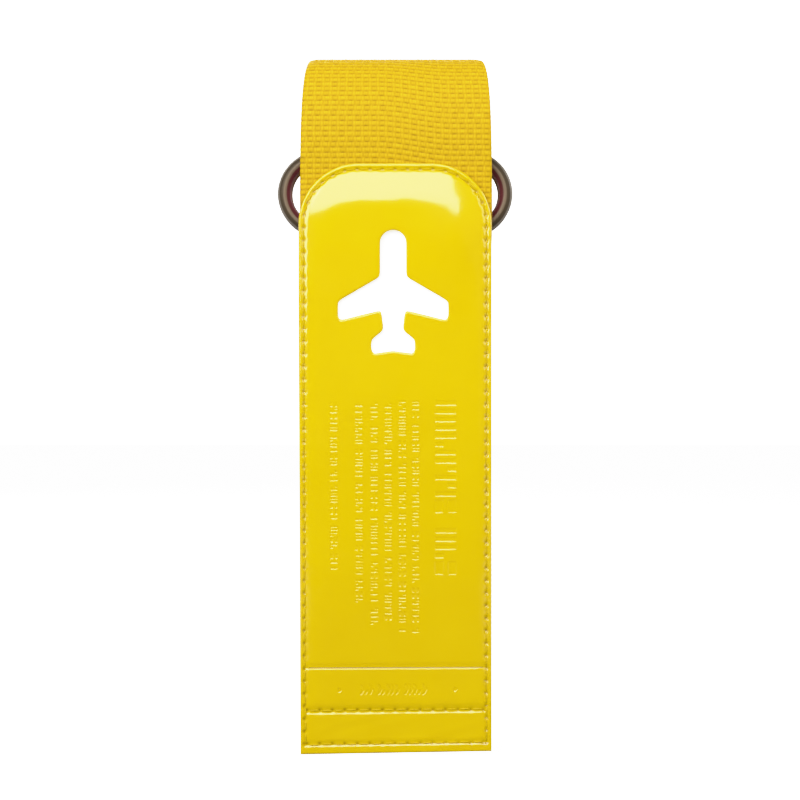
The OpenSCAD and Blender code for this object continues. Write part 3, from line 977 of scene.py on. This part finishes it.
front_shape = {"skew": row_skew, "droop": edge_droop}
fold_shape = {"sway": slack, "plump": 0.06}
lower = belt_piece("belt_webbing_front", 0.0, over, FINE_STEP,
                   inner_du=STRAND_STEP, hidden_to=SEWN_IN, **front_shape)
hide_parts("belt_front")
bend_start, bend_end = ((0, BELT_Y * MM, z * MM) for z in (BEND_FROM, BEND_TO))
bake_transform(lower)
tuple(bend_start)
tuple(bend_end)
for name, q0, q1, du, shape in (
    ("belt_webbing_run", over, turn, STRAND_STEP, {"inner_du": HALF_STEP, **front_shape}),
    ("belt_webbing_folds", turn, top_from, PLAIN_STEP, {"plain": True, **fold_shape}),
    ("belt_webbing_fold_top", top_from, top_to, STRAND_STEP, fold_shape),
    ("belt_webbing_fold_inner", top_to, tail, PLAIN_STEP, {"plain": True, **fold_shape}),
    ("belt_webbing_tail", tail, TOTAL, STRAND_STEP, fold_shape),
):
    place(belt_piece(name, q0, q1, du, **shape), "belt", "webbing", "belt_bundle")

hem_y = TAIL_Y - 2 * HEM_R - BELT_T / 2
hem = [s for up in HEM_ROWS for s in row_stitches(TAIL_Z - HEM_L + up, BELT_W - 6, BELT_X)]
place(thread_mesh("hem_stitching", hem, hem_y, -1, THREAD, False), "belt", "thread", "hem_thread")

# ---------------------------------------------------------------- rings and their keeper

KEEPER_W = keeper_hi[0] - keeper_lo[0]
KEEPER_GAP, KEEPER_ANGLE, KEEPER_BEND = 0.05, 50, 3.0  # room round the wire, and its last bend
KEEPER_ROWS = (3, 14)  # heights of the stitching above the keeper's lower edge


def keeper_line():
    """The keeper's middle line: up the tag's back, over both rings' lower bars and down behind."""
    wire = ring_hi[1] - ring_lo[1]
    front_ring_y, back_ring_y = (ring_lo[1] + ring_hi[1]) / 2, (ring2_lo[1] + ring2_hi[1]) / 2
    bar_z = ring_lo[2] + wire / 2
    r = wire / 2 + KEEPER_GAP + BELT_T / 2
    leg, outer_leg = KEEPER_Y + BELT_T / 2, KEEPER_Y + BELT_T * 1.5 + KEEPER_GAP
    sin, cos = math.sin(math.radians(KEEPER_ANGLE)), math.cos(math.radians(KEEPER_ANGLE))
    straight_y = (back_ring_y + r * cos) - (outer_leg + KEEPER_BEND * (1 - cos))
    straight_z = bar_z - r * sin - straight_y / (sin / cos)
    last_bend = (outer_leg + KEEPER_BEND, straight_z - KEEPER_BEND * sin)
    return dense(
        [(leg, keeper_lo[2], 90)]
        + bend((front_ring_y, bar_z), r, 180, 90)
        + bend((back_ring_y, bar_z), r, 90, -KEEPER_ANGLE)
        + bend(last_bend, KEEPER_BEND, 180 - KEEPER_ANGLE, 180)
        + [(outer_leg, keeper_lo[2], -90)]
    )


keeper_path = keeper_line()
keeper_end = keeper_path[-1, 3]
keeper = webbing("ring_keeper_webbing", keeper_path, 0.0, keeper_end, KEEPER_W, YARN, STRAND_STEP)
place(keeper, "tag", "webbing", "ring_keeper")
keeper_rows = [s for up in KEEPER_ROWS for s in row_stitches(keeper_lo[2] + up, KEEPER_W - 4)]
keeper_y = KEEPER_Y + 2 * BELT_T + KEEPER_GAP
keeper_stitching = thread_mesh("keeper_stitching", keeper_rows, keeper_y, 1, THREAD, False)
place(keeper_stitching, "tag", "thread", "keeper_thread")

for name, material in (("ring_front", METAL), ("ring_back", METAL), ("name_card", CARD)):
    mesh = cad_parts[name].data
    mesh.materials.clear()
    mesh.materials.append(material)
    if material is METAL:
        for polygon in mesh.polygons:
            polygon.use_smooth = True

# ---------------------------------------------------------------- stage, in metres from here on

FLOOR_HALF, FLOOR_DROP = 4.0, 0.0006
AIM = (0, 0, 0.12)
CAMERA_X, CAMERA_Z, CAMERA_AWAY = 0.0013, 0.0924, 0.5817  # away from the tag's face
WARM_WHITE = (1, 0.97, 0.92, 1)
SHOULDER = ((0.37, 0.74), (0.46, 0.87), (0.58, 0.92), (0.75, 0.97))


def link(ob):
    bpy.context.scene.collection.objects.link(ob)
    return ob


def floor_material():
    """White to the camera. In the gloss it is dark near the object and bright further to the sides."""
    material, nt, _ = new_material("floor_white")
    nt.nodes.clear()
    rays = node(nt, "LightPath").outputs
    place_on_floor = node(nt, "SeparateXYZ", (coordinates(nt),)).outputs
    aside = maths(nt, "ABSOLUTE", place_on_floor["X"])
    paler = map_range(nt, aside, 0.07, 0.35, 0.03, 1.6, "SMOOTHSTEP")
    nearby = map_range(nt, place_on_floor["Y"], -0.75, -0.35, 0, 1, "SMOOTHSTEP")
    bright = maths(nt, "MULTIPLY", paler, nearby)
    mirrored = node(nt, "Emission", Color=WARM_WHITE, Strength=bright).outputs[0]
    plain = node(nt, "BsdfDiffuse", Color=(0.35, 0.35, 0.35, 1)).outputs[0]
    glow = node(nt, "Emission", Strength=1.7).outputs[0]
    shaded = node(nt, "BsdfDiffuse", Color=(0.3, 0.3, 0.3, 1)).outputs[0]
    seen = node(nt, "AddShader", (glow, shaded)).outputs[0]
    lighting = mix_shaders(nt, rays["Is Glossy Ray"], plain, mirrored)
    node(nt, "OutputMaterial", Surface=mix_shaders(nt, rays["Is Camera Ray"], lighting, seen))
    return material


def stage_floor():
    s = FLOOR_HALF
    mesh = bpy.data.meshes.new("floor")
    mesh.from_pydata([(-s, -s, 0), (s, -s, 0), (s, s, 0), (-s, s, 0)], [], [(0, 1, 2, 3)])
    mesh.materials.append(floor_material())
    ob = link(bpy.data.objects.new("floor", mesh))
    ob.location.z = -FLOOR_DROP


def studio_world():
    """White to the camera. The gloss sees a dim uneven room that turns bright behind the object."""
    world = bpy.data.worlds.new("studio")
    bpy.context.scene.world = world
    world.use_nodes = True
    nt = world.node_tree
    nt.nodes.clear()
    rays = node(nt, "LightPath").outputs
    at = coordinates(nt, "Generated")
    room = map_range(nt, noise(nt, at, 2.6, 2.0), 0.38, 0.62, 0.0, 0.14)
    behind = map_range(nt, node(nt, "SeparateXYZ", (at,)).outputs["Y"], 0.5, 0.9, 0.0, 1.8, "SMOOTHSTEP")
    shine = node(nt, "Background", Color=WARM_WHITE, Strength=maths(nt, "ADD", room, behind)).outputs[0]
    fill, seen = (node(nt, "Background", Color=(1, 1, 1, 1), Strength=s).outputs[0] for s in (0.3, 2.2))
    lighting = mix_shaders(nt, rays["Is Glossy Ray"], fill, shine)
    node(nt, "OutputWorld", Surface=mix_shaders(nt, rays["Is Camera Ray"], lighting, seen))


def softbox(name, azimuth, elevation, distance, size, power, roll=0.0):
    """A studio light aimed at the upper part of the tag. Angles are in degrees, and azimuth 0 is on the
    camera's side."""
    lamp = bpy.data.lights.new(name, "AREA")
    lamp.shape = "RECTANGLE"
    lamp.size, lamp.size_y = size
    lamp.energy = power
    ob = link(bpy.data.objects.new(name, lamp))
    a, e = math.radians(azimuth), math.radians(elevation)
    out = Vector((math.sin(a) * math.cos(e), -math.cos(a) * math.cos(e), math.sin(e)))
    ob.location = Vector(AIM) + out * distance
    ob.rotation_mode = "QUATERNION"
    ob.rotation_quaternion = out.to_track_quat("Z", "Y") @ Quaternion((0, 0, 1), math.radians(roll))


def camera():
    lens = bpy.data.cameras.new("camera")
    lens.lens, lens.sensor_width = 100, 36
    ob = link(bpy.data.objects.new("camera", lens))
    ob.location = (CAMERA_X, FACE_Y * MM - CAMERA_AWAY, CAMERA_Z)
    ob.rotation_euler = (math.radians(90), 0, 0)
    bpy.context.scene.camera = ob


def view_settings():
    """Plain colours with a soft shoulder, so that highlights keep some colour."""
    view = bpy.context.scene.view_settings
    view.view_transform = "Standard"
    view.look = "None"
    view.use_curve_mapping = True
    curves = view.curve_mapping
    curves.white_level = (2, 2, 2)
    for x, y in SHOULDER:
        curves.curves[3].points.new(x, y)
    for point in curves.curves[3].points:
        point.handle_type = "VECTOR"
    curves.update()


stage_floor()
studio_world()
softbox("key_softbox", -7.5, 24.6, 1.3, (0.80, 0.62), 14, 6)
softbox("left_softbox", -38, 16, 1.3, (0.65, 0.60), 11, -10)
softbox("right_softbox", 46, 17, 1.3, (0.70, 0.60), 4)
softbox("top_softbox", 0, 72, 1.2, (0.9, 0.7), 8)
softbox("back_softbox", 205, 30, 1.5, (1.0, 0.8), 20)
softbox("far_side_softbox", 100, 20, 1.5, (0.8, 0.8), 12)
camera()
view_settings()
